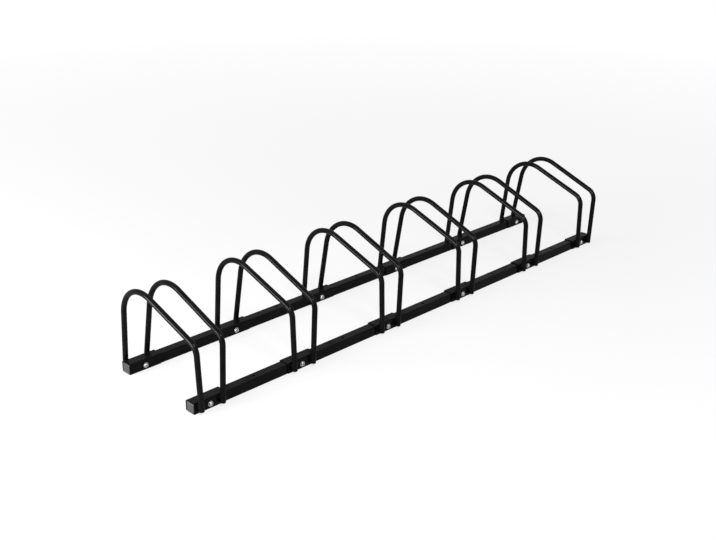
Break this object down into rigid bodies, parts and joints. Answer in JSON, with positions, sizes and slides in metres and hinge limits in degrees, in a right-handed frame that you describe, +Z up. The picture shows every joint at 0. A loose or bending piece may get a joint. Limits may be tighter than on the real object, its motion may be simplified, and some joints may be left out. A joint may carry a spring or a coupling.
{
  "type": "floor bike rack",
  "caption": "Low floor rack for parking bicycles: pairs of bent tube hoops on two square rails hold each front wheel upright.",
  "frame": {"origin": "on the floor, at the middle of the rack's overall length and depth", "axes": "+X along the rails, +Y from the low side of the hoops to their high side, +Z up"},
  "size_m": [1.8004, 0.3658, 0.2806],
  "materials": {
    "powder_coat": "satin black powder coat",
    "zinc": "bright zinc plate",
    "cap_plastic": "moulded black plastic",
    "plug_plastic": "moulded black plastic"
  },
  "bodies": {
    "root": {"bolts_front": "zinc", "bolts_rear": "zinc", "end_cap_front_left": "cap_plastic", "end_cap_front_right": "cap_plastic", "end_cap_rear_left": "cap_plastic", "end_cap_rear_right": "cap_plastic", "hoop_1_left": "powder_coat", "hoop_1_right": "powder_coat", "hoop_2_left": "powder_coat", "hoop_2_right": "powder_coat", "hoop_3_left": "powder_coat", "hoop_3_right": "powder_coat", "hoop_4_left": "powder_coat", "hoop_4_right": "powder_coat", "hoop_5_left": "powder_coat", "hoop_5_right": "powder_coat", "hoop_6_left": "powder_coat", "hoop_6_right": "powder_coat", "leg_plugs_1": "plug_plastic", "leg_plugs_2": "plug_plastic", "leg_plugs_3": "plug_plastic", "leg_plugs_4": "plug_plastic", "leg_plugs_5": "plug_plastic", "leg_plugs_6": "plug_plastic", "nuts_front": "zinc", "nuts_rear": "zinc", "rail_front": "powder_coat", "rail_rear": "powder_coat", "saddle_front_1": "powder_coat", "saddle_front_2": "powder_coat", "saddle_front_3": "powder_coat", "saddle_front_4": "powder_coat", "saddle_front_5": "powder_coat", "saddle_front_6": "powder_coat", "saddle_rear_1": "powder_coat", "saddle_rear_2": "powder_coat", "saddle_rear_3": "powder_coat", "saddle_rear_4": "powder_coat", "saddle_rear_5": "powder_coat", "saddle_rear_6": "powder_coat"}
  },
  "joints": []
}
